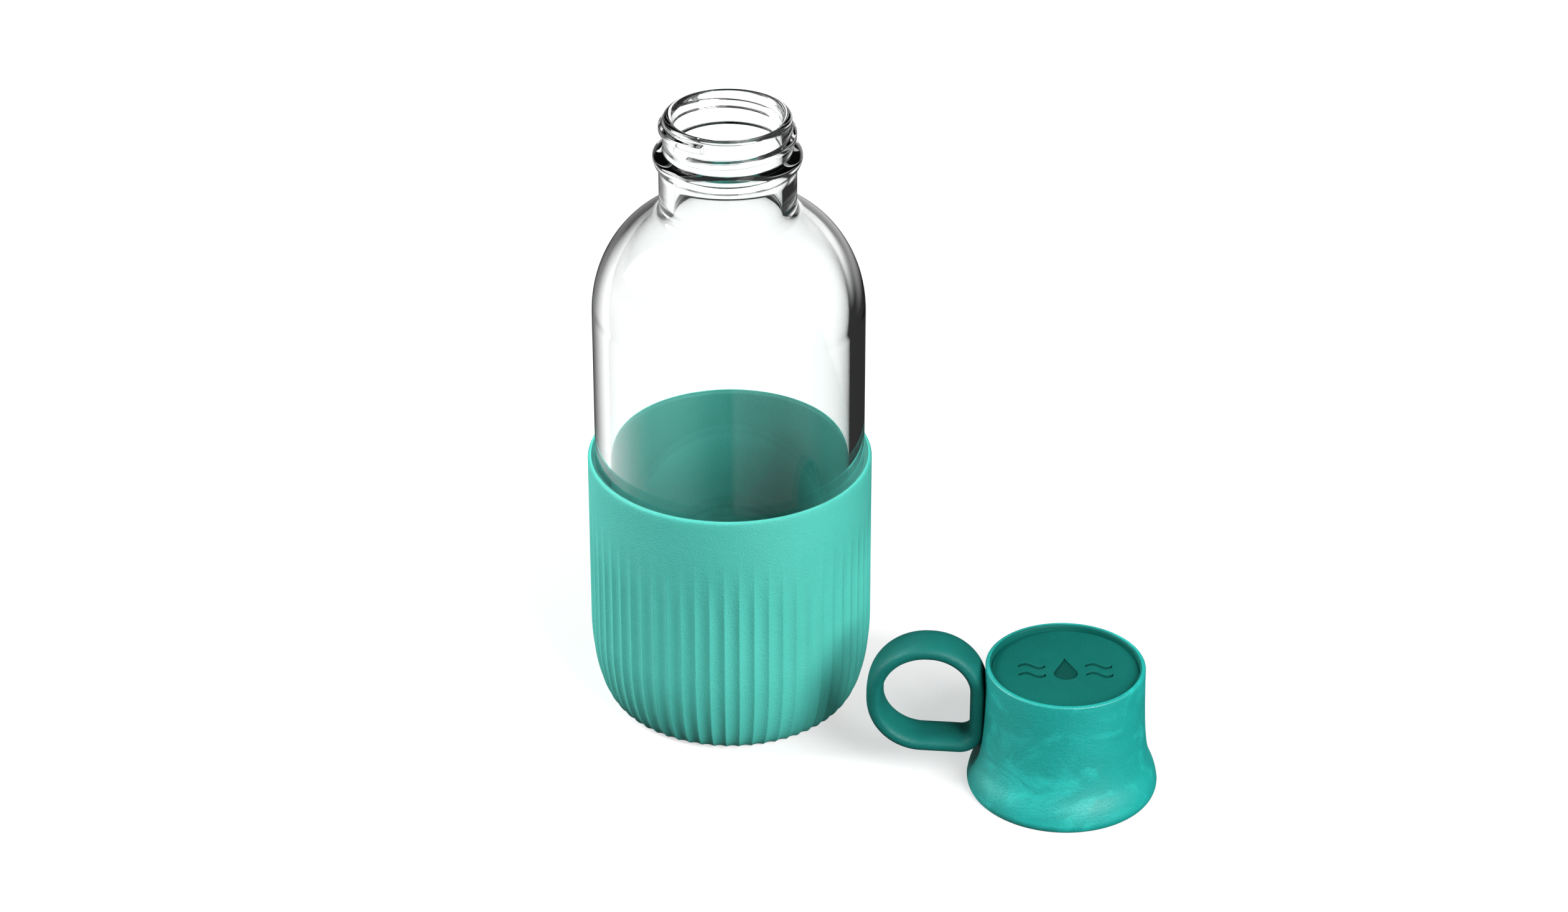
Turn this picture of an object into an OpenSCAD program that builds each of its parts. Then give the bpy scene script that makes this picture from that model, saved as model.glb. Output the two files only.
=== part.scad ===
// Reusable glass water bottle with a silicone sleeve and a screw cap with a carry loop.
// Millimetres, +Z up. The origin is on the bottle's axis, at the underside of the sleeve.
// The bottle stands open, with its cap beside it, resting on its open end.

/* [Glass bottle] */
// Outer diameter of the glass body
glass_d = 75; // [72:0.5:80]
// Height of the glass rim above the table
bottle_h = 180.5; // [176:0.5:200]
// Wall thickness of the glass body
glass_wall = 4.2; // [3:0.1:4.8]
// Thickness of the glass floor
glass_floor = 5.5; // [4:0.5:8]
// Height of the domed shoulder
dome_h = 32.8; // [30:0.2:35]
// Radius of the flat crown that the dome's ellipse starts from
dome_crown_r = 8.3; // [6:0.1:10]
// Outer diameter of the plain neck
neck_d = 37.4; // [37:0.1:38]
// Diameter of the bore in the neck
mouth_d = 29.4; // [28:0.2:30]
// Largest diameter of the bead below the thread
bead_d = 40.5; // [39.5:0.1:41]

/* [Screw thread] */
// Diameter over the crest of the glass thread
thread_d = 37.3; // [37:0.1:37.5]
// Diameter of the neck between the thread's turns
thread_root_d = 34.9; // [34.6:0.1:35]
// Rise of the thread in one turn
thread_pitch = 4.3; // [4.2:0.01:4.4]
// Angle that the glass thread runs through
thread_sweep = 376; // [330:1:380]
// Angle that the cap's own thread runs through
cap_thread_sweep = 360; // [180:5:380]

/* [Silicone sleeve] */
// Thickness of the sleeve wall
sleeve_wall = 1.95; // [1.5:0.05:3]
// Thickness of the sleeve floor
sleeve_floor = 2.1; // [1.6:0.1:3]
// Height of the sleeve
sleeve_h = 77; // [60:1:100]
// Gap between the glass and the sleeve
sleeve_gap = 0.15; // [0.1:0.05:0.3]
// Height of the rounded corner at the foot of the sleeve
heel_h = 25.9; // [20:0.1:30]

/* [Cap] */
// Height of the cap
cap_h = 38; // [38:0.5:42]
// Diameter of the cap at its top
cap_top_d = 43.8; // [43.6:0.1:45]
// Diameter of the cap's flared foot
cap_foot_d = 52.6; // [51.6:0.1:54]
// Thickness of the cap shell
cap_wall = 1.45; // [1.2:0.05:1.5]
// Depth of the top disc below the cap's rim
recess_depth = 1.8; // [1:0.1:2.5]
// Thickness of the top disc
disc_t = 1.4; // [1.2:0.1:2]
// Thickness of the seal
seal_t = 1.2; // [1:0.1:1.4]

/* [Carry loop] */
// Width of the loop along its centre line
loop_w = 28.6; // [28.2:0.1:32]
// Height of the loop along its centre line
loop_h = 29.6; // [29:0.1:32]
// Height of the middle of the loop above the cap's foot
loop_mid_z = 27.25; // [26:0.25:30]
// Width of the loop's band
band_w = 12; // [10:0.5:14]
// Thickness of the loop's band
band_t = 4.6; // [4:0.1:5]
// Direction that the loop points in
loop_heading = 174.4; // [0:0.1:360]

/* [Layout] */
// Distance of the cap from the bottle along X
cap_x = 92.1; // [85:0.1:120]
// Distance of the cap from the bottle along Y
cap_y = -49.3; // [-60:0.1:-40]

/* [Hidden] */

sleeve_green = "#4fc9b4";
cap_green = "#1f9e8a";
eps = 0.01;
curve_steps = 16;

glass_r = glass_d / 2;
neck_r = neck_d / 2;
mouth_r = mouth_d / 2;
bead_r = bead_d / 2;
crest_r = thread_d / 2;
root_r = thread_root_d / 2;

// Heights on the neck, measured down from the rim
dome_z = bottle_h - 58.7;
bead_z = bottle_h - 11.7;
bead_low_z = bottle_h - 15;
bead_top_z = bottle_h - 9.9;
lip_r = 1.3;
lip_inner_h = 2.3;

// The soft corners where the dome turns into the neck, outside and inside
neck_soft_h = 2.2;
mouth_soft_h = 3.5;
inner_dome_drop = 2.5;

// Threads
thread_start_z = bottle_h - 7.05;
thread_start_angle = -127;
thread_w = 2.5;
thread_crest_w = 1.1;
cap_thread_w = 1.4;
cap_thread_crest_w = 0.8;
thread_step = 8;
cap_thread_start = -85;

// The foot of the glass, and the punt under it
heel_r = 31.4;
punt_r = 25;
punt_h = 1.6;
foot_z = sleeve_floor;
inner_floor_z = foot_z + glass_floor;
inner_r = glass_r - glass_wall;
inner_heel_w = 7.3;
inner_heel_h = 16.4;

sleeve_in_r = glass_r + sleeve_gap;
sleeve_r = sleeve_in_r + sleeve_wall;
sleeve_sole_r = 31.7;
groove_r = [10, 17, 24];
groove_w = 1.6;
groove_depth = 0.6;

// The stack inside the cap, from the top down
cap_top_r = cap_top_d / 2;
cap_foot_r = cap_foot_d / 2;
foot_round_h = 2;
foot_round_w = 0.9;
rim_w = 1.6;
rim_round = 0.5;
recess_r = cap_top_r - rim_w;
disc_gap = 0.15;
disc_top_z = cap_h - recess_depth;
disc_seat_z = disc_top_z - disc_t;
web_t = 1.6;
web_z = disc_seat_z - web_t;
plate_t = 1;
plate_z = web_z - plate_t;
seal_z = plate_z - seal_t;
seal_gap = 0.3;
seal_bore_r = 13.6;
seal_pocket_r = 17.8;
liner_r = 20.7;
shell_bore_r = liner_r + 0.05;
liner_z = 21.2;
liner_root_r = 19;
liner_crest_r = 17.85;

// Corners of the loop: at the top and the bottom, away from the cap and next to it
loop_mid_r = 37.85;
corner_top_out = 14.6;
corner_top_in = 13.4;
corner_low_in = 5;
corner_low_out = 13.3;
root_w = 8;
root_z = 27.2;
root_h = 4.4;
root_flange_w = 11;
root_flange_z = 25.9;
root_flange_h = 6.5;
root_flange_t = 0.8;
root_gap = 0.1;

// The emblem sunk into the top disc
emblem_depth = 0.5;
drop_r = 3.4;
drop_h = 8;
drop_low = 1.5;
wave_w = 1.7;
wave_len = 7.6;
wave_rise = 1;
wave_start = 5.4;
wave_row = 2.2;

// Points along an arc of an ellipse, from angle a0 to angle a1
function arc(cx, cz, rx, rz, a0, a1, steps = curve_steps) =
    [for (i = [0 : steps]) let (a = a0 + (a1 - a0) * i / steps) [cx + rx * cos(a), cz + rz * sin(a)]];

// Points along a smooth corner from a to b, with its tangents meeting at c
function corner(a, c, b, steps = 6) =
    [for (i = [0 : steps]) let (t = i / steps) (1 - t) ^ 2 * a + 2 * t * (1 - t) * c + t ^ 2 * b];

// Point at t along the cubic curve with end points a and d
function cubic(a, b, c, d, t) =
    (1 - t) ^ 3 * a + 3 * t * (1 - t) ^ 2 * b + 3 * t ^ 2 * (1 - t) * c + t ^ 3 * d;

// Where a dome that is rx wide and rz high reaches the radius r
function dome_angle(rx, r) = acos((r - dome_crown_r) / rx);
function dome_point(rx, rz, a) = [dome_crown_r + rx * cos(a), dome_z + rz * sin(a)];

// The dome from the body up to a neck of radius r, with a soft corner
function dome(body_r, rz, r, soft) =
    let (rx = body_r - dome_crown_r)
    let (meet = dome_angle(rx, r))
    let (last = dome_angle(rx, r + soft))
    concat(
        [for (i = [0 : curve_steps]) dome_point(rx, rz, last * i / curve_steps)],
        corner(dome_point(rx, rz, last + 1), dome_point(rx, rz, meet),
            dome_point(rx, rz, meet) + [0, soft]));

function reversed(list) = [for (i = [len(list) - 1 : -1 : 0]) list[i]];

function glass_outline() =
    let (bead_core_r = 14)
    let (bead_rx = bead_r - bead_core_r)
    let (low_a = acos((neck_r - bead_core_r) / bead_rx))
    let (top_a = acos((root_r - bead_core_r) / bead_rx))
    let (bead_low_h = (bead_z - bead_low_z) / sin(low_a))
    let (bead_top_h = (bead_top_z - bead_z) / sin(top_a))
    let (lip_mid_r = root_r - lip_r)
    concat(
        [[0, foot_z + punt_h]],
        corner([punt_r - 8, foot_z + punt_h], [punt_r - 3, foot_z + punt_h], [punt_r, foot_z]),
        arc(heel_r, heel_h, glass_r - heel_r, heel_h - foot_z, -90, 0),
        dome(glass_r, dome_h, neck_r, neck_soft_h),
        arc(bead_core_r, bead_z, bead_rx, bead_low_h, -low_a, -eps, 8),
        arc(bead_core_r, bead_z, bead_rx, bead_top_h, eps, top_a, 8),
        arc(lip_mid_r, bottle_h - lip_r, lip_r, lip_r, 0, 90, 6),
        arc(lip_mid_r, bottle_h - lip_inner_h, lip_mid_r - mouth_r, lip_inner_h, 95, 180, 6),
        reversed(dome(inner_r, dome_h - inner_dome_drop, mouth_r, mouth_soft_h)),
        reversed(arc(inner_r - inner_heel_w, inner_floor_z + inner_heel_h,
            inner_heel_w, inner_heel_h, -90, 0)),
        [[0, inner_floor_z]]);

// A helical ridge on a round wall. The base sinks into the wall, and both ends taper away.
module helix_ridge(wall_r, tip_r, sink, base_w, tip_w, z0, a0, sweep, taper) {
    steps = ceil(sweep / thread_step);
    out = sign(tip_r - wall_r);
    rings = [for (i = [0 : steps])
        let (turn = sweep * i / steps)
        let (grow = min(1, min(turn, sweep - turn) / taper + 0.25))
        let (z = z0 + thread_pitch * turn / 360)
        let (r_in = wall_r - out * sink, r_out = wall_r + (tip_r - wall_r) * grow)
        [for (p = [[r_in, -base_w / 2], [r_out, -tip_w / 2], [r_out, tip_w / 2], [r_in, base_w / 2]])
            [p[0] * cos(a0 + turn), p[0] * sin(a0 + turn), z + p[1]]]];
    points = [for (ring = rings) each ring];
    sides = [for (i = [0 : steps - 1], j = [0 : 3])
        let (k = (j + 1) % 4)
        [i * 4 + j, i * 4 + k, i * 4 + 4 + k, i * 4 + 4 + j]];
    ends = [[3, 2, 1, 0], [for (j = [0 : 3]) steps * 4 + j]];
    faces = concat(sides, ends);
    polyhedron(points, out > 0 ? faces : [for (f = faces) reversed(f)]);
}

module glass_bottle() {
    color("#dff3ef", 0.45) {
        rotate_extrude($fn = 128) polygon(glass_outline());
        helix_ridge(root_r, crest_r, 0.4, thread_w, thread_crest_w,
            thread_start_z, thread_start_angle, thread_sweep, 14);
    }
}

module sleeve() {
    rim_r = sleeve_wall / 2;
    outline = concat(
        [[0, 0]],
        arc(sleeve_sole_r, heel_h, sleeve_r - sleeve_sole_r, heel_h, -90, 0),
        arc(sleeve_r - rim_r, sleeve_h - rim_r, rim_r, rim_r, 0, 180, 8),
        reversed(arc(heel_r, heel_h, sleeve_in_r - heel_r, heel_h - sleeve_floor, -90, 0)),
        [[0, sleeve_floor]]);
    color(sleeve_green) difference() {
        rotate_extrude($fn = 128) polygon(outline);
        for (r = groove_r) {
            difference() {
                translate([0, 0, -eps]) cylinder(r = r + groove_w / 2, h = groove_depth + eps, $fn = 96);
                translate([0, 0, -1]) cylinder(r = r - groove_w / 2, h = groove_depth + 2, $fn = 96);
            }
        }
    }
}

// Puts the cap's pieces where the cap stands
module at_cap() {
    translate([cap_x, cap_y, 0]) children();
}

// Turns the loop's plane, drawn flat with the cap's axis along Y, to its heading
module at_loop() {
    rotate([0, 0, loop_heading]) rotate([90, 0, 0]) children();
}

// Points down the flared side of the cap, from the radius below the rim to the foot
function flare(shrink) =
    [for (i = [0 : curve_steps])
        cubic([cap_top_r, cap_h - rim_round], [cap_top_r + 0.3, 3.3], [cap_foot_r - 1.4, 11.2],
            [cap_foot_r, foot_round_h], i / curve_steps) - [shrink, 0]];

module cap_envelope(grow) {
    outline = concat(
        [[0, -1], [0, cap_h + 1], [cap_top_r + grow, cap_h + 1]],
        flare(-grow),
        [[cap_foot_r + grow, -1]]);
    rotate_extrude($fn = 128) polygon(outline);
}

module cap_shell() {
    inner_flare = [for (p = flare(cap_wall)) if (p[0] > shell_bore_r && p[1] < liner_z) p];
    outline = concat(
        [[0, disc_seat_z], [recess_r, disc_seat_z]],
        [[recess_r, cap_h - rim_round]],
        arc(recess_r + rim_round, cap_h - rim_round, rim_round, rim_round, 150, 90, 3),
        arc(cap_top_r - rim_round, cap_h - rim_round, rim_round, rim_round, 90, 15, 4),
        flare(0),
        arc(cap_foot_r - foot_round_w, foot_round_h, foot_round_w, foot_round_h, -15, -90, 5),
        [[cap_foot_r - cap_wall, 0]],
        reversed(inner_flare),
        [[shell_bore_r, liner_z], [shell_bore_r, web_z], [0, web_z]]);
    color(cap_green) at_cap() difference() {
        rotate_extrude($fn = 128) polygon(outline);
        at_loop() translate([0, root_z - root_gap, -root_w / 2 - root_gap])
            cube([cap_top_r + 2, root_h + 2 * root_gap, root_w + 2 * root_gap]);
    }
}

// A drop with two short waves on each side
module emblem() {
    lean = asin(drop_r / drop_h);
    translate([0, -drop_low])
        polygon(concat([[0, drop_h]], arc(0, 0, drop_r, drop_r, 180 - lean, 360 + lean)));
    for (side = [-1, 1], row = [-1, 1]) {
        middle = [for (i = [0 : 12]) let (x = wave_len * i / 12) [x, wave_rise * sin(360 * i / 12)]];
        translate([side > 0 ? wave_start : -wave_start - wave_len, row * wave_row])
            polygon(concat(
                [for (p = middle) p + [0, wave_w / 2]],
                reversed([for (p = middle) p - [0, wave_w / 2]])));
    }
}

module cap_disc() {
    r = recess_r - disc_gap;
    edge = 0.3;
    outline = [
        [0, disc_seat_z], [r, disc_seat_z], [r, disc_top_z - edge],
        [r - edge, disc_top_z], [0, disc_top_z]];
    color("#16836f") at_cap() difference() {
        rotate_extrude($fn = 96) polygon(outline);
        translate([0, 0, disc_top_z - emblem_depth]) linear_extrude(1) emblem();
    }
}

// The band's section: its thickness across X, its width along Y, with round edges
module band_section() {
    square([band_t, band_w - band_t], center = true);
    for (side = [-1, 1])
        translate([0, side * (band_w - band_t) / 2]) circle(d = band_t, $fn = 32);
}

module band_corner(centre, r, start) {
    translate([centre[0], centre[1], 0])
        rotate_extrude(angle = 90, start = start, $fn = 96) translate([r, 0]) band_section();
}

module band_across(x0, x1, y) {
    translate([x0, y, 0]) rotate([90, 0, 90]) linear_extrude(x1 - x0) band_section();
}

module band_up(x, y0, y1) {
    translate([x, y0, 0]) rotate([-90, 0, 0]) linear_extrude(y1 - y0) band_section();
}

module cap_loop() {
    x_in = loop_mid_r - loop_w / 2;
    x_out = loop_mid_r + loop_w / 2;
    y_low = loop_mid_z - loop_h / 2;
    y_top = loop_mid_z + loop_h / 2;
    color(cap_green) at_cap() {
        difference() {
            at_loop() {
                band_corner([x_out - corner_top_out, y_top - corner_top_out], corner_top_out, 0);
                band_corner([x_in + corner_top_in, y_top - corner_top_in], corner_top_in, 90);
                band_corner([x_in + corner_low_in, y_low + corner_low_in], corner_low_in, 180);
                band_corner([x_out - corner_low_out, y_low + corner_low_out], corner_low_out, 270);
                band_across(x_in + corner_top_in, x_out - corner_top_out, y_top);
                band_across(x_in + corner_low_in, x_out - corner_low_out, y_low);
                band_up(x_in, y_low + corner_low_in, y_top - corner_top_in);
                band_up(x_out, y_low + corner_low_out, y_top - corner_top_out);
            }
            cap_envelope(0.05);
        }
        loop_root(x_in);
    }
}

// The root runs through a slot in the shell, to a flange held between shell and liner
module loop_root(band_x) {
    flange_r = liner_r - 0.05;
    intersection() {
        difference() {
            translate([0, 0, root_flange_z]) cylinder(r = flange_r, h = root_flange_h, $fn = 128);
            cylinder(r = flange_r - root_flange_t, h = cap_h, $fn = 128);
        }
        at_loop() translate([0, 0, -root_flange_w / 2]) cube([cap_top_r, cap_h, root_flange_w]);
    }
    at_loop() translate([flange_r - root_flange_t / 2, root_z, -root_w / 2])
        cube([band_x - flange_r + root_flange_t / 2, root_h, root_w]);
}

module cap_liner() {
    pocket_r = liner_r - root_flange_t - 0.15;
    // In the closed cap this thread lies half a pitch below the glass thread
    seat_z = bottle_h - seal_z;
    ridge_z = thread_start_z - seat_z + thread_pitch * (cap_thread_start - thread_start_angle) / 360
        - thread_pitch / 2;
    color("#2aa793") at_cap() {
        difference() {
            rotate_extrude($fn = 128) polygon([
                [liner_root_r, liner_z], [liner_r, liner_z], [liner_r, web_z], [0, web_z], [0, plate_z],
                [seal_pocket_r, plate_z], [seal_pocket_r, seal_z], [liner_root_r, seal_z]]);
            intersection() {
                difference() {
                    cylinder(r = liner_r + 1, h = cap_h, $fn = 128);
                    translate([0, 0, -1]) cylinder(r = pocket_r, h = cap_h + 2, $fn = 128);
                }
                at_loop() translate([0, root_flange_z - root_gap, -root_flange_w / 2 - root_gap])
                    cube([liner_r + 2, root_flange_h + 2 * root_gap, root_flange_w + 2 * root_gap]);
            }
        }
        helix_ridge(liner_root_r, liner_crest_r, 0.3, cap_thread_w, cap_thread_crest_w,
            ridge_z, cap_thread_start, cap_thread_sweep, 14);
    }
}

module seal_ring() {
    r = seal_pocket_r - seal_gap;
    color("#e8ecea") at_cap() difference() {
        translate([0, 0, seal_z]) cylinder(r = r, h = seal_t, $fn = 96);
        translate([0, 0, seal_z - 1]) cylinder(r = seal_bore_r, h = seal_t + 2, $fn = 96);
    }
}

glass_bottle();
sleeve();
cap_shell();
cap_disc();
cap_loop();
cap_liner();
seal_ring();
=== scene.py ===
"""Looks of the glass water bottle: clear glass, fluted silicone sleeve and a screw cap with its carry loop.

Lengths are in metres. A size that isn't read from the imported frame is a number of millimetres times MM.
"""

import math

import bpy
import numpy as np
from mathutils import Matrix, Vector


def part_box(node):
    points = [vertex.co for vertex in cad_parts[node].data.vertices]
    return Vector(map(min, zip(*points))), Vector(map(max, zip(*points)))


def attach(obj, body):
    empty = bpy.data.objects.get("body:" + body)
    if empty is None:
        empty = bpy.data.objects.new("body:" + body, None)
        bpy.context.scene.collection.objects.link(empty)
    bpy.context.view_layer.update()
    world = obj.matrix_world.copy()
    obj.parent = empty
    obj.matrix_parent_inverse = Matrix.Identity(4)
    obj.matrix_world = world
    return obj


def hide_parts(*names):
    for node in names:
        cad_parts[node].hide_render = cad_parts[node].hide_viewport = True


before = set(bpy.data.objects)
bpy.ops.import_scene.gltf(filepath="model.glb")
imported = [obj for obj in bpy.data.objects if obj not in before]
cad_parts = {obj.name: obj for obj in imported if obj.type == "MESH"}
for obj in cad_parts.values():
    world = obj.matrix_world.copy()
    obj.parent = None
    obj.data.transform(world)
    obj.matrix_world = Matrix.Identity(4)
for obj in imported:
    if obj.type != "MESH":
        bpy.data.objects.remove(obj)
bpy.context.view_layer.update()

MM = 0.001


# ---------------------------------------------------------------- sizes

glass_low, glass_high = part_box("glass_bottle")
sleeve_low, sleeve_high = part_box("sleeve")
shell_low, shell_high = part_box("cap_shell")
disc_low, disc_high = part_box("cap_disc")
liner_low, liner_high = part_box("cap_liner")
seal_low, seal_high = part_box("seal_ring")

RIM_Z = glass_high.z
GLASS_R = glass_high.x
GLASS_FOOT_Z = glass_low.z
SLEEVE_R = sleeve_high.x
SLEEVE_H = sleeve_high.z
CAP_X = (shell_low.x + shell_high.x) / 2
CAP_Y = (shell_low.y + shell_high.y) / 2
CAP_H = shell_high.z
CAP_FOOT_R = (shell_high.x - shell_low.x) / 2
CAP_TOP_R = 21.9 * MM

# Glass
INNER_R = GLASS_R - 4.2 * MM
NECK_R = 18.7 * MM
MOUTH_R = 14.7 * MM
THREAD_ROOT_R = 17.45 * MM
THREAD_CREST_R = 18.65 * MM
DOME_Z = RIM_Z - 58.7 * MM
DOME_H = 32.8 * MM
DOME_CROWN_R = 8.3 * MM
BEAD_R = 20.25 * MM
BEAD_Z = RIM_Z - 11.7 * MM
BEAD_LOW_Z = RIM_Z - 15 * MM
BEAD_TOP_Z = RIM_Z - 9.9 * MM
BEAD_CORE_R = 14 * MM
LIP_R = 1.3 * MM
LIP_INNER_H = 2.3 * MM
NECK_SOFT_H = 2.2 * MM
MOUTH_SOFT_H = 3.5 * MM
INNER_DOME_H = DOME_H - 2.5 * MM
HEEL_R = 31.4 * MM
HEEL_TOP_Z = 25.9 * MM
PUNT_R = 25 * MM
PUNT_H = 1.6 * MM
INNER_FLOOR_Z = GLASS_FOOT_Z + 5.5 * MM
INNER_HEEL_W = 7.3 * MM
INNER_HEEL_H = 16.4 * MM

# Screw thread
PITCH = 4.3 * MM
THREAD_START = -127.0
THREAD_SWEEP = 376.0
THREAD_START_Z = RIM_Z - 7.05 * MM
THREAD_HALF_W = 1.25 * MM
CAP_THREAD_START = -85.0
CAP_THREAD_SWEEP = 360.0

# Sleeve
SLEEVE_IN_R = GLASS_R + 0.15 * MM
SLEEVE_SOLE_R = 31.7 * MM
GROOVE_RADII = (10 * MM, 17 * MM, 24 * MM)
GROOVE_DEPTH = 0.5 * MM
FLUTES = 60
FLUTE_PHASE = 4.2
FLUTE_DEPTH = 0.6 * MM
FLUTE_FULL_Z = 44 * MM
FLUTE_END_Z = 67 * MM
# height of the band at the top of the rim that gets painted shade
RIM_SHADE_BAND_H = 0.7 * MM

# Cap
CAP_WALL = 1.45 * MM
RIM_W = 1.6 * MM
RIM_ROUND = 0.5 * MM
RECESS_R = CAP_TOP_R - RIM_W
FOOT_ROUND_H = 2 * MM
FOOT_ROUND_W = 0.9 * MM
SHELL_BORE_R = 20.75 * MM
WEB_Z = disc_low.z - 1.6 * MM
LINER_R = (liner_high.x - liner_low.x) / 2
LINER_ROOT_R = 19 * MM
LINER_CREST_R = 17.85 * MM
SEAL_POCKET_R = 17.8 * MM
SEAL_R = (seal_high.x - seal_low.x) / 2
SEAL_BORE_R = 13.6 * MM

# Top disc, and the emblem sunk into it
DISC_R = (disc_high.x - disc_low.x) / 2
DISC_EDGE = 0.09 * MM
EMBLEM_DEPTH = 0.5 * MM
DROP_R = 3.4 * MM
DROP_H = 8 * MM
DROP_LOW = 1.5 * MM
WAVE_LENGTH = 7.6 * MM
WAVE_RISE = 1.0 * MM
WAVE_W = 1.7 * MM
WAVE_START = 5.4 * MM
WAVE_ROW = 2.2 * MM

# Carry loop, in its own plane: distance from the cap's axis, and height
LOOP_HEADING = math.radians(174.4)
LOOP_W = 28.6 * MM
LOOP_H = 29.6 * MM
LOOP_MID_R = 37.85 * MM
LOOP_MID_Z = 27.25 * MM
BAND_W = 12 * MM
BAND_T = 4.6 * MM
CORNERS = {"top_out": 14.6 * MM, "top_in": 13.4 * MM, "low_in": 5 * MM, "low_out": 13.3 * MM}


# ---------------------------------------------------------------- outlines

def arc(cx, cz, rx, rz, start, end, steps=16):
    """Points along an arc of an ellipse, between two angles in degrees."""
    angles = [math.radians(start + (end - start) * i / steps) for i in range(steps + 1)]
    return [(cx + rx * math.cos(a), cz + rz * math.sin(a)) for a in angles]


def corner(a, c, b, steps=8):
    """Points along a soft corner from a to b, whose tangents meet at c."""
    points = []
    for i in range(steps + 1):
        t = i / steps
        points.append(tuple((1 - t) ** 2 * a[k] + 2 * t * (1 - t) * c[k] + t ** 2 * b[k] for k in (0, 1)))
    return points


def cubic(a, b, c, d, steps):
    """Points along a cubic curve from a to d."""
    points = []
    for i in range(steps + 1):
        t = i / steps
        w = ((1 - t) ** 3, 3 * t * (1 - t) ** 2, 3 * t ** 2 * (1 - t), t ** 3)
        points.append(tuple(w[0] * a[k] + w[1] * b[k] + w[2] * c[k] + w[3] * d[k] for k in (0, 1)))
    return points


def straight(a, b, step):
    """Points from a to b, both left out, no further apart than the step."""
    count = max(1, math.ceil(math.hypot(b[0] - a[0], b[1] - a[1]) / step))
    return [(a[0] + (b[0] - a[0]) * i / count, a[1] + (b[1] - a[1]) * i / count) for i in range(1, count)]


def dome(body_r, height, neck_r, soft):
    """The domed shoulder, from the body up to a neck, with a soft corner between them."""
    rx = body_r - DOME_CROWN_R
    meet = math.degrees(math.acos((neck_r - DOME_CROWN_R) / rx))
    last = math.degrees(math.acos((neck_r + soft - DOME_CROWN_R) / rx))
    curve = arc(DOME_CROWN_R, DOME_Z, rx, height, 0, last, 40)
    a = arc(DOME_CROWN_R, DOME_Z, rx, height, last + 0.5, meet, 1)
    return curve + corner(a[0], a[1], (neck_r, a[1][1] + soft), 10)


# ---------------------------------------------------------------- mesh making

def add_mesh(name, vertices, faces, smooth=True):
    mesh = bpy.data.meshes.new(name)
    mesh.from_pydata(vertices, [], faces)
    mesh.polygons.foreach_set("use_smooth", [smooth] * len(mesh.polygons))
    mesh.validate()
    mesh.update()
    piece = bpy.data.objects.new(name, mesh)
    bpy.context.scene.collection.objects.link(piece)
    return piece


def band_faces(low, high):
    """The faces between two rings of vertices. A ring of one vertex is a point on the axis."""
    steps = max(len(low), len(high))
    if steps == 1:
        return []
    faces = []
    for i in range(steps):
        j = (i + 1) % steps
        if len(low) == 1:
            faces.append((low[0], high[j], high[i]))
        elif len(high) == 1:
            faces.append((low[i], low[j], high[0]))
        else:
            faces.append((low[i], low[j], high[j], high[i]))
    return faces


def lathe(name, outline, angles, radius=None, centre=(0.0, 0.0)):
    """Turns an outline of (r, z) points round the upright axis, with a vertex at each angle of a list.

    radius(r, z, angles) may change the radius along a ring. A point with r = 0 becomes one vertex, and an
    outline that ends away from the axis is closed from its last point to its first.
    """
    steps = len(angles)
    cosines, sines = np.cos(np.radians(angles)), np.sin(np.radians(angles))
    vertices, rings = [], []
    for r, z in outline:
        if r < 1e-7:
            rings.append([len(vertices)])
            vertices.append((centre[0], centre[1], z))
            continue
        ring_r = np.full(steps, r) if radius is None else radius(r, z, angles)
        rings.append(list(range(len(vertices), len(vertices) + steps)))
        vertices.extend(zip(centre[0] + ring_r * cosines, centre[1] + ring_r * sines, np.full(steps, z)))
    pairs = list(zip(rings, rings[1:]))
    if len(rings[0]) > 1 and len(rings[-1]) > 1:
        pairs.append((rings[-1], rings[0]))
    faces = [face for low, high in pairs for face in band_faces(low, high)]
    return add_mesh(name, vertices, faces)


def even_angles(steps):
    return np.arange(steps) * 360.0 / steps


def smooth_step(x):
    x = np.clip(x, 0.0, 1.0)
    return x * x * (3 - 2 * x)


def thread_height(z, angles, start_z, start, sweep, half_w, flank):
    """How far a thread's ridge has risen, from 0 to 1, at a height and along a ring of angles."""
    height = np.zeros_like(angles)
    first = math.floor(start / 360)
    for turn in range(first, first + 4):
        along = angles + 360 * turn - start
        middle = start_z + PITCH * along / 360
        off = np.abs(z - middle)
        crown = 1 - 0.15 * (off / half_w) ** 2
        ridge = smooth_step((half_w + flank * 0.3 - off) / flank) * crown
        ends = smooth_step((along + 1.5) / 3) * smooth_step((sweep + 1.5 - along) / 3)
        height = np.maximum(height, ridge * ends)
    return height


# ---------------------------------------------------------------- pieces

def bead_outline():
    """The bead below the thread, and the plain wall that the thread stands on."""
    bead_rx = BEAD_R - BEAD_CORE_R
    low = math.degrees(math.acos((NECK_R - BEAD_CORE_R) / bead_rx))
    top = math.degrees(math.acos((THREAD_ROOT_R - BEAD_CORE_R) / bead_rx))
    low_h = (BEAD_Z - BEAD_LOW_Z) / math.sin(math.radians(low))
    top_h = (BEAD_TOP_Z - BEAD_Z) / math.sin(math.radians(top))
    bead = arc(BEAD_CORE_R, BEAD_Z, bead_rx, low_h, -low, -3, 14)
    bead += arc(BEAD_CORE_R, BEAD_Z, bead_rx, top_h, 0, top, 18)
    return bead + straight((THREAD_ROOT_R, BEAD_TOP_Z), (THREAD_ROOT_R, RIM_Z - LIP_R), 0.12 * MM)


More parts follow.
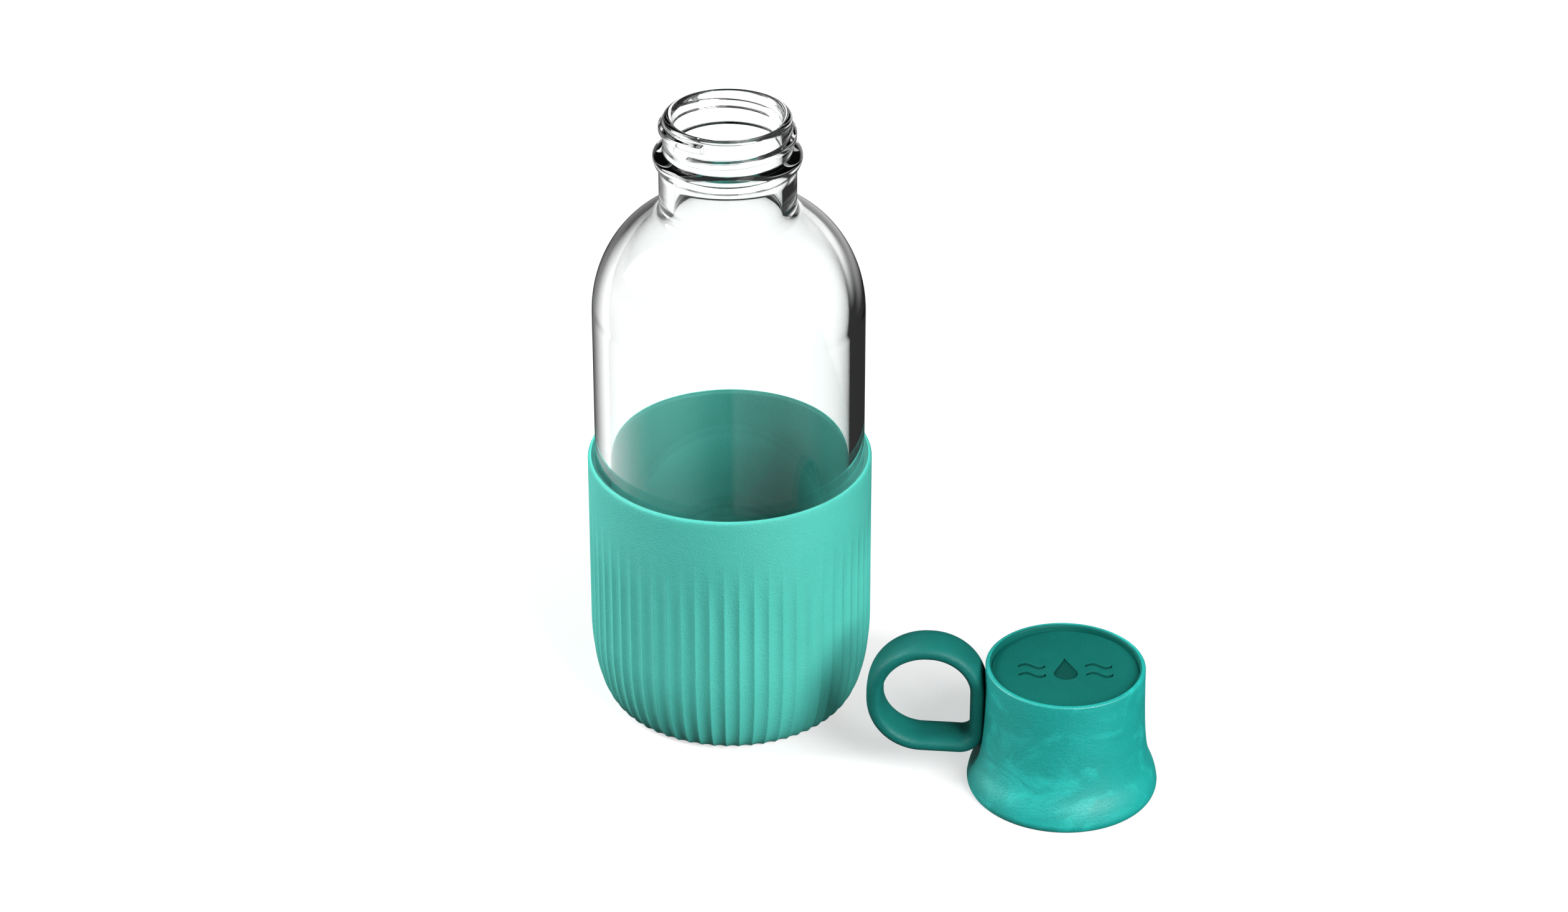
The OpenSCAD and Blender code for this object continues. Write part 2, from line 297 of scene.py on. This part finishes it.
def glass_outside():
    punt_z = GLASS_FOOT_Z + PUNT_H
    punt_edge = (PUNT_R - 8 * MM, punt_z)
    outside = [(0, punt_z)] + straight((0, punt_z), punt_edge, 4 * MM)
    outside += corner(punt_edge, (PUNT_R - 3 * MM, punt_z), (PUNT_R, GLASS_FOOT_Z))
    outside += arc(HEEL_R, HEEL_TOP_Z, GLASS_R - HEEL_R, HEEL_TOP_Z - GLASS_FOOT_Z, -90, 0, 20)
    outside += straight((GLASS_R, HEEL_TOP_Z), (GLASS_R, DOME_Z), 5 * MM)
    outside += dome(GLASS_R, DOME_H, NECK_R, NECK_SOFT_H)
    outside += straight(outside[-1], (NECK_R, BEAD_LOW_Z), 2 * MM)
    return outside + bead_outline()


def glass_inside():
    """The lip, and the inside wall from the mouth down to the middle of the floor."""
    lip_mid = THREAD_ROOT_R - LIP_R
    heel_z = INNER_FLOOR_Z + INNER_HEEL_H
    inside = arc(lip_mid, RIM_Z - LIP_R, LIP_R, LIP_R, 0, 90, 12)
    inside += arc(lip_mid, RIM_Z - LIP_INNER_H, lip_mid - MOUTH_R, LIP_INNER_H, 97, 180, 14)
    wall = dome(INNER_R, INNER_DOME_H, MOUTH_R, MOUTH_SOFT_H)
    inside += straight(inside[-1], wall[-1], 3 * MM) + wall[::-1]
    inside += straight((INNER_R, DOME_Z), (INNER_R, heel_z), 5 * MM)
    inside += arc(INNER_R - INNER_HEEL_W, heel_z, INNER_HEEL_W, INNER_HEEL_H, 0, -90, 20)
    return inside + straight(inside[-1], (0, INNER_FLOOR_Z), 4 * MM) + [(0, INNER_FLOOR_Z)]


def glass_radius(r, z, angles):
    """The thread stands on the outside of the neck, above the bead."""
    if r < THREAD_ROOT_R - 0.02 * MM or z < BEAD_TOP_Z or z > RIM_Z - LIP_R:
        return np.full(len(angles), r)
    rise = thread_height(z, angles, THREAD_START_Z, THREAD_START, THREAD_SWEEP, THREAD_HALF_W, 0.75 * MM)
    return r + (THREAD_CREST_R - THREAD_ROOT_R) * rise


def groove_outline(r, z):
    """A shallow ring groove under the sole, at a radius."""
    top = z + GROOVE_DEPTH
    return [(r - 1 * MM, z), (r - 0.6 * MM, top), (r + 0.6 * MM, top), (r + 1 * MM, z)]


def sleeve_outline():
    rim = (SLEEVE_R - SLEEVE_IN_R) / 2
    rim_z = SLEEVE_H - rim
    heel_w = SLEEVE_R - SLEEVE_SOLE_R
    inner_heel_w = SLEEVE_IN_R - HEEL_R
    outline = [(0, sleeve_low.z)]
    for r in GROOVE_RADII:
        outline += groove_outline(r, sleeve_low.z)
    outline += arc(SLEEVE_SOLE_R, HEEL_TOP_Z, heel_w, HEEL_TOP_Z, -90, 0, 30)
    outline += straight((SLEEVE_R, HEEL_TOP_Z), (SLEEVE_R, rim_z), 1.5 * MM)
    outline += arc(SLEEVE_R - rim, rim_z, rim, rim, 0, 180, 14)
    outline += straight((SLEEVE_IN_R, rim_z), (SLEEVE_IN_R, HEEL_TOP_Z), 5 * MM)
    outline += arc(HEEL_R, HEEL_TOP_Z, inner_heel_w, HEEL_TOP_Z - GLASS_FOOT_Z, 0, -90, 16)
    return outline + [(0, GLASS_FOOT_Z - 0.02 * MM)]


def flute_angles():
    """Vertices lie closer together near each ridge, which keeps it crisp."""
    across = np.array([0, 0.05, 0.13, 0.23, 0.34, 0.45, 0.55, 0.66, 0.77, 0.87, 0.95])
    return (np.arange(FLUTES)[:, None] + across).ravel() * 360 / FLUTES + FLUTE_PHASE


def sleeve_radius(r, z, angles):
    """Flutes are hollows between sharp ridges. They fade out below the smooth band."""
    sole = r < SLEEVE_SOLE_R - 0.1 * MM
    inner_wall = r < SLEEVE_R - 1 * MM and z > HEEL_TOP_Z
    drop = min(1, abs(HEEL_TOP_Z - z) / HEEL_TOP_Z)
    inner_r = HEEL_R + (SLEEVE_IN_R - HEEL_R) * math.sqrt(1 - drop ** 2)
    inner_heel = GLASS_FOOT_Z < z < HEEL_TOP_Z and r < inner_r + 0.5 * MM
    if sole or inner_wall or inner_heel:
        return np.full(len(angles), r)
    across = np.mod((angles - FLUTE_PHASE) * FLUTES / 360, 1.0)
    hollow = 1 - (2 * across - 1) ** 2
    fade = smooth_step(np.array((FLUTE_END_Z - z) / (FLUTE_END_Z - FLUTE_FULL_Z)))
    return r - FLUTE_DEPTH * hollow * fade


def flare(shrink=0.0, steps=60):
    """The cap's side, from just below its rim down to its flared foot."""
    points = cubic((CAP_TOP_R, CAP_H - RIM_ROUND), (CAP_TOP_R + 0.3 * MM, 3.3 * MM),
                   (CAP_FOOT_R - 1.4 * MM, 11.2 * MM), (CAP_FOOT_R, FOOT_ROUND_H), steps)
    return [(r - shrink, z) for r, z in points]


def shell_outline():
    rim_z = CAP_H - RIM_ROUND
    inner = [p for p in flare(CAP_WALL) if p[0] > SHELL_BORE_R and p[1] < liner_low.z]
    outline = [(0, disc_low.z), (RECESS_R, disc_low.z), (RECESS_R, disc_low.z + 0.2 * MM)]
    outline += straight((RECESS_R, disc_low.z), (RECESS_R, rim_z), 0.8 * MM)
    outline += arc(RECESS_R + RIM_ROUND, rim_z, RIM_ROUND, RIM_ROUND, 180, 90, 6)
    outline += arc(CAP_TOP_R - RIM_ROUND, rim_z, RIM_ROUND, RIM_ROUND, 90, 10, 6)
    outline += flare()
    outline += arc(CAP_FOOT_R - FOOT_ROUND_W, FOOT_ROUND_H, FOOT_ROUND_W, FOOT_ROUND_H, -10, -90, 8)
    outline += [(CAP_FOOT_R - CAP_WALL, 0)] + inner[::-1]
    outline += [(SHELL_BORE_R, liner_low.z), (SHELL_BORE_R, WEB_Z), (0, WEB_Z)]
    return outline


def liner_outline():
    plate_z = seal_high.z
    outline = [(LINER_ROOT_R, liner_low.z + 0.2 * MM), (LINER_ROOT_R + 0.2 * MM, liner_low.z)]
    outline += [(LINER_R - 0.2 * MM, liner_low.z), (LINER_R, liner_low.z + 0.2 * MM)]
    outline += [(LINER_R, WEB_Z), (0, WEB_Z)]
    outline += [(0, plate_z), (SEAL_POCKET_R, plate_z), (SEAL_POCKET_R, seal_low.z + 0.1 * MM)]
    outline += [(SEAL_POCKET_R + 0.1 * MM, seal_low.z), (LINER_ROOT_R, seal_low.z)]
    return outline + straight((LINER_ROOT_R, seal_low.z), (LINER_ROOT_R, liner_low.z + 0.2 * MM), 0.12 * MM)


def liner_radius(r, z, angles):
    """The cap's own thread stands on the inside of the liner, half a pitch off the glass thread."""
    if abs(r - LINER_ROOT_R) > 0.01 * MM or z > seal_low.z:
        return np.full(len(angles), r)
    lag = (CAP_THREAD_START - THREAD_START) / 360 - 0.5
    start_z = THREAD_START_Z - (RIM_Z - seal_low.z) + PITCH * lag
    rise = thread_height(z, angles, start_z, CAP_THREAD_START, CAP_THREAD_SWEEP, 0.7 * MM, 0.5 * MM)
    return r - (LINER_ROOT_R - LINER_CREST_R) * rise


def seal_outline():
    edge = 0.25 * MM
    low, high = seal_low.z + edge, seal_high.z - edge
    inner, outer = SEAL_BORE_R + edge, SEAL_R - edge
    corners = ((outer, low, -90), (outer, high, 0), (inner, high, 90), (inner, low, 180))
    return [point for r, z, start in corners for point in arc(r, z, edge, edge, start, start + 90, 4)]


def loop_corners():
    """The four corners of the loop, as (centre, height, radius, first angle)."""
    near, far = LOOP_MID_R - LOOP_W / 2, LOOP_MID_R + LOOP_W / 2
    low, top = LOOP_MID_Z - LOOP_H / 2, LOOP_MID_Z + LOOP_H / 2
    top_out, top_in = CORNERS["top_out"], CORNERS["top_in"]
    low_in, low_out = CORNERS["low_in"], CORNERS["low_out"]
    return [(far - top_out, top - top_out, top_out, 0), (near + top_in, top - top_in, top_in, 90),
            (near + low_in, low + low_in, low_in, 180), (far - low_out, low + low_out, low_out, 270)]


def loop_path():
    """The loop's centre line: (distance from the cap's axis, height, and the direction outward)."""
    path = []
    for x, z, r, start in loop_corners():
        count = max(14, round(r / (0.35 * MM)))
        for i in range(count + 1):
            a = math.radians(start + 90 * i / count)
            path.append((x + r * math.cos(a), z + r * math.sin(a), math.cos(a), math.sin(a)))
    full = []
    for here, there in zip(path, path[1:] + path[:1]):
        gap = math.hypot(there[0] - here[0], there[1] - here[1])
        count = max(1, round(gap / (0.6 * MM)))
        for i in range(count):
            t = i / count
            full.append(tuple(here[k] + (there[k] - here[k]) * t for k in range(4)))
    return full


def band_section(steps=40, squareness=2.7):
    """(across the band's thickness, across its width), both from -1 to 1, as a soft rounded oblong."""
    points = []
    for i in range(steps):
        a = 2 * math.pi * i / steps
        c, s = math.cos(a), math.sin(a)
        across = math.copysign(abs(c) ** (2 / squareness), c)
        along = math.copysign(abs(s) ** (2 / squareness), s)
        points.append((across, along))
    return points


def cap_side_radius(z):
    """The radius of the cap's side at a height."""
    points = flare()[::-1]
    return float(np.interp(z, [p[1] for p in points], [p[0] for p in points]))


def make_loop():
    """Sweeps the band round the loop, and presses it against the cap's side."""
    section = band_section()
    along = Vector((math.cos(LOOP_HEADING), math.sin(LOOP_HEADING), 0))
    across = Vector((-math.sin(LOOP_HEADING), math.cos(LOOP_HEADING), 0))
    up = Vector((0, 0, 1))
    vertices, faces = [], []
    path = loop_path()
    for r, z, out_r, out_z in path:
        for t, w in section:
            flat = along * (r + out_r * t * BAND_T / 2) + across * (w * BAND_W / 2)
            height = z + out_z * t * BAND_T / 2
            limit = cap_side_radius(height) + 0.08 * MM
            if height < CAP_H + 1 * MM and flat.length < limit:
                flat *= limit / flat.length
            vertices.append(Vector((CAP_X, CAP_Y, 0)) + flat + up * height)
    rings, size = len(path), len(section)
    for i in range(rings):
        for j in range(size):
            k, m = (i + 1) % rings, (j + 1) % size
            faces.append((i * size + j, i * size + m, k * size + m, k * size + j))
    return add_mesh("carry_loop", vertices, faces)


def ring_spline(curve, points, clockwise=False):
    spline = curve.splines.new("POLY")
    points = points[::-1] if clockwise else points
    spline.points.add(len(points) - 1)
    for point, (x, y) in zip(spline.points, points):
        point.co = (x, y, 0, 1)
    spline.use_cyclic_u = True


def drop_outline(r, height):
    lean = math.degrees(math.asin(r / height))
    return [(0, height)] + arc(0, 0, r, r, 180 - lean, 360 + lean, 32)


def wave_outline(length, rise, width):
    middle = [(length * i / 24, rise * math.sin(2 * math.pi * i / 24)) for i in range(25)]
    return [(x, y - width / 2) for x, y in middle] + [(x, y + width / 2) for x, y in middle[::-1]]


def draw_emblem(curve):
    drop = [(x, y - DROP_LOW) for x, y in drop_outline(DROP_R, DROP_H)]
    ring_spline(curve, drop, clockwise=True)
    for side in (-1, 1):
        x0 = WAVE_START if side > 0 else -WAVE_START - WAVE_LENGTH
        for row in (-1, 1):
            wave = wave_outline(WAVE_LENGTH, WAVE_RISE, WAVE_W)
            ring_spline(curve, [(x + x0, y + row * WAVE_ROW) for x, y in wave], clockwise=True)


def disc_plate():
    """A plate with bevelled edges, with the emblem cut through it."""
    curve = bpy.data.curves.new("disc_plate", "CURVE")
    curve.dimensions = "2D"
    curve.fill_mode = "BOTH"
    curve.extrude = EMBLEM_DEPTH / 2 - DISC_EDGE
    curve.bevel_depth = DISC_EDGE
    curve.bevel_resolution = 2
    ring_spline(curve, arc(0, 0, DISC_R - DISC_EDGE, DISC_R - DISC_EDGE, 0, 357.5, 143))
    draw_emblem(curve)
    holder = bpy.data.objects.new("disc_plate", curve)
    bpy.context.scene.collection.objects.link(holder)
    bpy.context.view_layer.update()
    mesh = bpy.data.meshes.new_from_object(holder.evaluated_get(bpy.context.evaluated_depsgraph_get()))
    bpy.data.objects.remove(holder)
    mesh.transform(Matrix.Translation((CAP_X, CAP_Y, disc_high.z - EMBLEM_DEPTH / 2)))
    plate = bpy.data.objects.new("cap_top_disc", mesh)
    bpy.context.scene.collection.objects.link(plate)
    return plate


def disc_backing():
    """The plain plate under it, which is the floor of the emblem."""
    r, top = DISC_R - DISC_EDGE, disc_high.z - EMBLEM_DEPTH
    outline = [(0, disc_low.z), (r, disc_low.z), (r, top), (0, top)]
    backing = lathe("disc_backing", outline, even_angles(144), centre=(CAP_X, CAP_Y))
    backing.data.polygons.foreach_set("use_smooth", [False] * len(backing.data.polygons))
    return backing


def make_disc(teal):
    """The top disc, in one piece; its darker teal is painted shade. The floor of its emblem is darker
    still: painted shade in the engraving.
    """
    plate, backing = disc_plate(), disc_backing()
    plate.data.materials.append(teal)
    # Painted shade: the emblem's floor is darker than the disc.
    backing.data.materials.append(cap_material("engraving_floor_painted_shade", *ENGRAVING_SHADE_TEAL, 0.5, 0.1))
    with bpy.context.temp_override(active_object=plate, selected_editable_objects=[plate, backing]):
        bpy.ops.object.join()
    return plate


# ---------------------------------------------------------------- materials

# Pairs of linear colours, the darker first
SILICONE_GREEN = ((0.060, 0.430, 0.362), (0.068, 0.460, 0.388))
CAP_TEAL = ((0.002, 0.265, 0.232), (0.003, 0.325, 0.290))
# The disc's teal is a darker copy of the cap's: painted shade for the weaker light from above.
DISC_SHADED_TEAL = ((0.003, 0.100, 0.082), (0.004, 0.115, 0.096))
# The engraving's floor is darker: painted shade in the emblem's hollow.
ENGRAVING_SHADE_TEAL = ((0.002, 0.050, 0.041), (0.003, 0.060, 0.050))
# The loop's teal is a darker copy of the cap's: painted shade.
LOOP_SHADED_TEAL = ((0.003, 0.115, 0.098), (0.004, 0.135, 0.116))
LINER_TEAL = ((0.014, 0.300, 0.260), (0.016, 0.330, 0.290))
SEAL_WHITE = ((0.74, 0.77, 0.75), (0.86, 0.88, 0.86))


class Nodes:
    """A material's node tree, with short calls to add nodes and join them."""

    def __init__(self, name):
        self.material = bpy.data.materials.new(name)
        self.material.use_nodes = True
        self.tree = self.material.node_tree
        self.shader = next(n for n in self.tree.nodes if n.type == "BSDF_PRINCIPLED")
        self.place = self.add("ShaderNodeTexCoord").outputs["Object"]

    def add(self, kind, **values):
        node = self.tree.nodes.new(kind)
        for key, value in values.items():
            setattr(node, key, value)
        return node

    def join(self, a, b):
        self.tree.links.new(a, b)

    def noise(self, scale, detail=3.0, roughness=0.5, distortion=0.0, stretch=None):
        node = self.add("ShaderNodeTexNoise")
        node.inputs["Scale"].default_value = scale
        node.inputs["Detail"].default_value = detail
        node.inputs["Roughness"].default_value = roughness
        node.inputs["Distortion"].default_value = distortion
        if stretch:
            mapping = self.add("ShaderNodeMapping")
            mapping.inputs["Scale"].default_value = stretch
            self.join(self.place, mapping.inputs["Vector"])
            self.join(mapping.outputs["Vector"], node.inputs["Vector"])
        else:
            self.join(self.place, node.inputs["Vector"])
        return node.outputs["Fac"]

    def ramp(self, value, stops):
        node = self.add("ShaderNodeValToRGB")
        elements = node.color_ramp.elements
        while len(elements) < len(stops):
            elements.new(0.5)
        for element, (position, colour) in zip(elements, stops):
            element.position = position
            element.color = (*colour, 1)
        self.join(value, node.inputs["Fac"])
        return node.outputs["Color"]

    def span(self, value, low, high, to_low, to_high):
        node = self.add("ShaderNodeMapRange")
        for key, number in zip(("From Min", "From Max", "To Min", "To Max"), (low, high, to_low, to_high)):
            node.inputs[key].default_value = number
        self.join(value, node.inputs["Value"])
        return node.outputs["Result"]

    def mix(self, amount, a, b):
        node = self.add("ShaderNodeMix", data_type="RGBA")
        for key, value in (("Factor", amount), ("A", a), ("B", b)):
            socket = node.inputs[key]
            if isinstance(value, (int, float)):
                socket.default_value = value
            elif isinstance(value, tuple):
                socket.default_value = (*value, 1)
            else:
                self.join(value, socket)
        return node.outputs["Result"]

    def bump(self, height, strength, distance, below=None):
        node = self.add("ShaderNodeBump")
        node.inputs["Strength"].default_value = strength
        node.inputs["Distance"].default_value = distance
        self.join(height, node.inputs["Height"])
        if below is not None:
            self.join(below, node.inputs["Normal"])
        return node.outputs["Normal"]

    def set(self, **values):
        for key, value in values.items():
            socket = self.shader.inputs[key.replace("_", " ")]
            if hasattr(value, "is_linked"):
                self.join(value, socket)
            else:
                socket.default_value = value


def glass_material():
    n = Nodes("clear_glass")
    n.set(Base_Color=(0.985, 1.0, 0.995, 1), Roughness=0.0, IOR=1.5, Transmission_Weight=1.0)
    return n.material


def silicone_material(name="sleeve_silicone", shade=1.0, gloss=0.7):
    """Matt silicone with a fine grain. A shade below 1 darkens its colour with painted shade, to match the
    picture.
    """
    n = Nodes(name)
    mottle = n.noise(45, 4, 0.55)
    dark, light = [tuple(c * shade for c in colour) for colour in SILICONE_GREEN]
    grain = n.noise(2300, 3, 0.6)
    waves = n.noise(420, 2, 0.5)
    n.set(Base_Color=n.ramp(mottle, [(0.3, dark), (0.7, light)]), IOR=1.45, Specular_IOR_Level=gloss,
          Roughness=n.span(grain, 0.3, 0.7, 0.5, 0.66))
    n.set(Subsurface_Weight=0.08, Subsurface_Radius=(0.3, 1.0, 0.9), Subsurface_Scale=0.002)
    n.set(Normal=n.bump(grain, 0.8, 0.0002, n.bump(waves, 0.15, 0.0003)))
    return n.material


def cap_colour(n, dark, light, clouds):
    """Teal with faint cloudy streaks, as in moulded plastic."""
    cloud = n.noise(60, 9, 0.64, 0.9, stretch=(1.0, 1.0, 1.6))
    patches = n.noise(30, 3, 0.5, stretch=(1.0, 1.0, 2.0))
    base = n.ramp(patches, [(0.35, dark), (0.7, light)])
    streak = n.span(cloud, 0.5, 0.7, 0.0, clouds)
    pale = tuple(c * 1.45 + 0.012 for c in light)
    return n.mix(streak, base, pale)


def cap_material(name, dark, light, roughness=0.5, gloss=0.25, clouds=0.2):
    """Moulded plastic or rubber with a fine leather-like grain."""
    n = Nodes(name)
    grain = n.noise(1700, 3, 0.6)
    skin = n.noise(300, 2, 0.5)
    n.set(Base_Color=cap_colour(n, dark, light, clouds), IOR=1.45, Specular_IOR_Level=gloss,
          Roughness=n.span(grain, 0.3, 0.7, roughness - 0.08, roughness + 0.1))
    n.set(Normal=n.bump(grain, 0.5, 0.00024, n.bump(skin, 0.18, 0.0004)))
    return n.material


def seal_material():
    n = Nodes("seal_silicone")
    haze = n.noise(240, 3, 0.5)
    dark, light = SEAL_WHITE
    n.set(Base_Color=n.ramp(haze, [(0.3, dark), (0.7, light)]), Roughness=0.4, Subsurface_Weight=0.3,
          Subsurface_Scale=0.002, Normal=n.bump(haze, 0.1, 0.0001))
    return n.material


def floor_material():
    n = Nodes("studio_floor")
    n.set(Base_Color=(0.4, 0.4, 0.4, 1), Roughness=1.0, Specular_IOR_Level=0.0,
          Emission_Color=(1, 1, 1, 1), Emission_Strength=0.57)
    return n.material


# ---------------------------------------------------------------- assembly

def dress(piece, body, slot, material, *nodes):
    """Gives a piece its material and body; the slot is not used. Without a material it keeps those it has.
    """
    if material:
        piece.data.materials.clear()
        piece.data.materials.append(material)
    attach(piece, body)
    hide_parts(*nodes)


def build_glass():
    """The bottle of clear glass, which casts no shadow."""
    glass = lathe("glass_body", glass_outside() + glass_inside(), even_angles(280), glass_radius)
    dress(glass, "glass", "glass", glass_material(), "glass_bottle")
    glass.visible_shadow = False


def build_sleeve():
    """The sleeve's inside and its top edge are darkened with painted shade, although they are the same
    silicone.
    """
    sleeve = lathe("fluted_sleeve", sleeve_outline(), flute_angles(), sleeve_radius)
    dress(sleeve, "sleeve", "sleeve_silicone", silicone_material(), "sleeve")
    # Painted shade: a much darker copy of the silicone inside the sleeve, and a slightly darker one on the
    # rim's top band.
    sleeve.data.materials.append(silicone_material("sleeve_inside_painted_shade", 0.23, 0.15))
    sleeve.data.materials.append(silicone_material("sleeve_rim_painted_shade", 0.84, 0.3))
    middle = (SLEEVE_IN_R + SLEEVE_R) / 2
    for face in sleeve.data.polygons:
        x, y, z = face.center
        if math.hypot(x, y) < middle and z > HEEL_TOP_Z:
            face.material_index = 1
        elif z > SLEEVE_H - RIM_SHADE_BAND_H:
            face.material_index = 2


def build_cap_shell(disc_shaded_teal):
    """The wall of the recess gets the top disc's darker colour, painted shade, although it is part of the
    shell.
    """
    shell = lathe("cap_outer_shell", shell_outline(), even_angles(256), centre=(CAP_X, CAP_Y))
    dress(shell, "cap", "cap_plastic", cap_material("cap_plastic", *CAP_TEAL, 0.52, 0.8, 0.75), "cap_shell")
    shell.data.materials.append(disc_shaded_teal)
    for face in shell.data.polygons:
        x, y, z = face.center
        if math.hypot(x - CAP_X, y - CAP_Y) < RECESS_R + RIM_ROUND and z > disc_low.z:
            face.material_index = 1


def build_cap():
    # The disc's darker teal is painted shade on the cap's top.
    disc_shaded_teal = cap_material("disc_plastic", *DISC_SHADED_TEAL, 0.5, 0.15)
    build_cap_shell(disc_shaded_teal)
    dress(make_disc(disc_shaded_teal), "cap", "disc_plastic", None, "cap_disc")
    loop = make_loop()
    # The loop's darker teal is painted shade.
    dress(loop, "cap", "loop_rubber", cap_material("loop_rubber", *LOOP_SHADED_TEAL, 0.52, 0.3), "cap_loop")
    liner = lathe("threaded_liner", liner_outline(), even_angles(240), liner_radius, (CAP_X, CAP_Y))
    dress(liner, "cap", "liner_plastic", cap_material("liner_plastic", *LINER_TEAL, 0.35), "cap_liner")
    seal = lathe("seal_washer", seal_outline(), even_angles(160), centre=(CAP_X, CAP_Y))
    dress(seal, "seal", "seal_silicone", seal_material(), "seal_ring")


def build_floor():
    """A plain floor. Only the camera sees it, so that it puts no light on the object."""
    half = 6.0
    corners = [(-half, -half, 0), (half, -half, 0), (half, half, 0), (-half, half, 0)]
    floor = add_mesh("studio_floor", corners, [(0, 1, 2, 3)], smooth=False)
    floor.data.materials.append(floor_material())
    floor.visible_transmission = False
    floor.visible_glossy = False
    floor.visible_diffuse = False


def area_light(name, place, target, width, height, power):
    """A rectangular lamp that faces a target. Its power is in watts."""
    data = bpy.data.lights.new(name, "AREA")
    data.shape = "RECTANGLE"
    data.size, data.size_y, data.energy = width, height, power
    light = bpy.data.objects.new(name, data)
    light.location = place
    light.rotation_euler = (Vector(target) - Vector(place)).to_track_quat("-Z", "Y").to_euler()
    bpy.context.scene.collection.objects.link(light)


class Sums:
    """Arithmetic in the nodes of the world."""

    def __init__(self, tree):
        self.tree = tree

    def number(self, operation, *inputs):
        node = self.tree.nodes.new("ShaderNodeMath")
        node.operation = operation
        for socket, value in zip(node.inputs, inputs):
            if isinstance(value, (int, float)):
                socket.default_value = value
            else:
                self.tree.links.new(value, socket)
        return node.outputs[0]

    def times(self, first, *others):
        for other in others:
            first = self.number("MULTIPLY", first, other)
        return first

    def ease(self, value, low, high, to_low=0.0, to_high=1.0):
        """A smooth change from one number to another, as a value goes from low to high."""
        node = self.tree.nodes.new("ShaderNodeMapRange")
        node.interpolation_type = "SMOOTHSTEP"
        for key, setting in zip(("From Min", "From Max", "To Min", "To Max"), (low, high, to_low, to_high)):
            node.inputs[key].default_value = setting
        self.tree.links.new(value, node.inputs["Value"])
        return node.outputs["Result"]


def studio_light(s, x, y, z):
    """What the glass mirrors: a lit left wall, a bright horizon at the back and a dark right side."""
    left = s.times(s.ease(x, -0.12, -0.75, 0.0, 1.25), s.ease(y, -0.3, 0.3, 0.3, 1.0),
                   s.ease(z, -0.8, -0.6), s.ease(z, 0.1, -0.1))
    horizon = s.times(s.ease(z, -0.42, -0.2), s.ease(z, 0.3, 0.12), s.ease(y, -0.1, 0.1),
                      s.ease(x, -0.55, -0.42), s.ease(x, 0.75, 0.55), s.ease(x, -0.3, 0.3, 0.5, 1.2))
    front = s.times(s.ease(y, 0.1, -0.4), s.ease(x, 0.0, 0.12, 0.0, 0.3))
    lower = s.number("ADD", s.number("MAXIMUM", left, front), 0.03)
    return s.number("MAXIMUM", lower, horizon)


def soft_light(s, x, z):
    """What lights the matt surfaces besides the lamps: a faint sky, and some light from the left floor."""
    ground = s.times(s.ease(x, 0.2, -0.6, 0.03, 0.15), s.ease(z, 0.1, -0.1))
    return s.number("MAXIMUM", s.ease(z, -0.1, 0.3, 0.0, 0.05), ground)


def build_world():
    """Rays mirrored by the glass see the studio. Rays that only pass through it see white."""
    world = bpy.data.worlds.new("studio")
    bpy.context.scene.world = world
    world.use_nodes = True
    tree = world.node_tree
    s = Sums(tree)
    place = tree.nodes.new("ShaderNodeTexCoord")
    split = tree.nodes.new("ShaderNodeSeparateXYZ")
    tree.links.new(place.outputs["Generated"], split.inputs[0])
    x, y, z = split.outputs
    path = tree.nodes.new("ShaderNodeLightPath")
    depth = s.number("SUBTRACT", path.outputs["Ray Depth"], path.outputs["Transmission Depth"])
    mirrored = s.number("GREATER_THAN", depth, 1.5)
    sharp = path.outputs["Is Singular Ray"]
    through = s.number("MAXIMUM", s.ease(z, 0.22, 0.08, 0.04, 1.25), path.outputs["Is Camera Ray"])
    white = s.times(s.number("SUBTRACT", 1.0, mirrored), through)
    studio = s.times(studio_light(s, x, y, z), mirrored, sharp)
    sky = s.times(soft_light(s, x, z), mirrored, s.number("SUBTRACT", 1.0, sharp))
    total = s.number("ADD", white, s.number("ADD", studio, sky))
    tree.links.new(total, tree.nodes["Background"].inputs["Strength"])
    tree.nodes["Background"].inputs["Color"].default_value = (1, 1, 1, 1)


def build_light():
    """A key light from the front right, and a softer one from the left."""
    build_world()
    area_light("key", place=(1.02, -1.27, 1.1), target=(0.03, 0, 0.06), width=1.05, height=1.2, power=67)
    area_light("fill", place=(-1.45, 0.22, 0.95), target=(0, 0, 0.06), width=0.9, height=1.2, power=52)
    bpy.context.scene.view_settings.view_transform = "Standard"


def build_camera():
    """The camera looks down on the bottle from the front."""
    data = bpy.data.cameras.new("camera")
    data.sensor_width = 36
    data.lens = 100.38
    data.clip_end = 30
    camera = bpy.data.objects.new("camera", data)
    camera.location = (0.01511, -1.05756, 0.68181)
    camera.rotation_euler = (math.radians(60.173), 0, 0)
    bpy.context.scene.collection.objects.link(camera)
    bpy.context.scene.camera = camera


build_glass()
build_sleeve()
build_cap()
build_floor()
build_light()
build_camera()

bpy.context.view_layer.update()
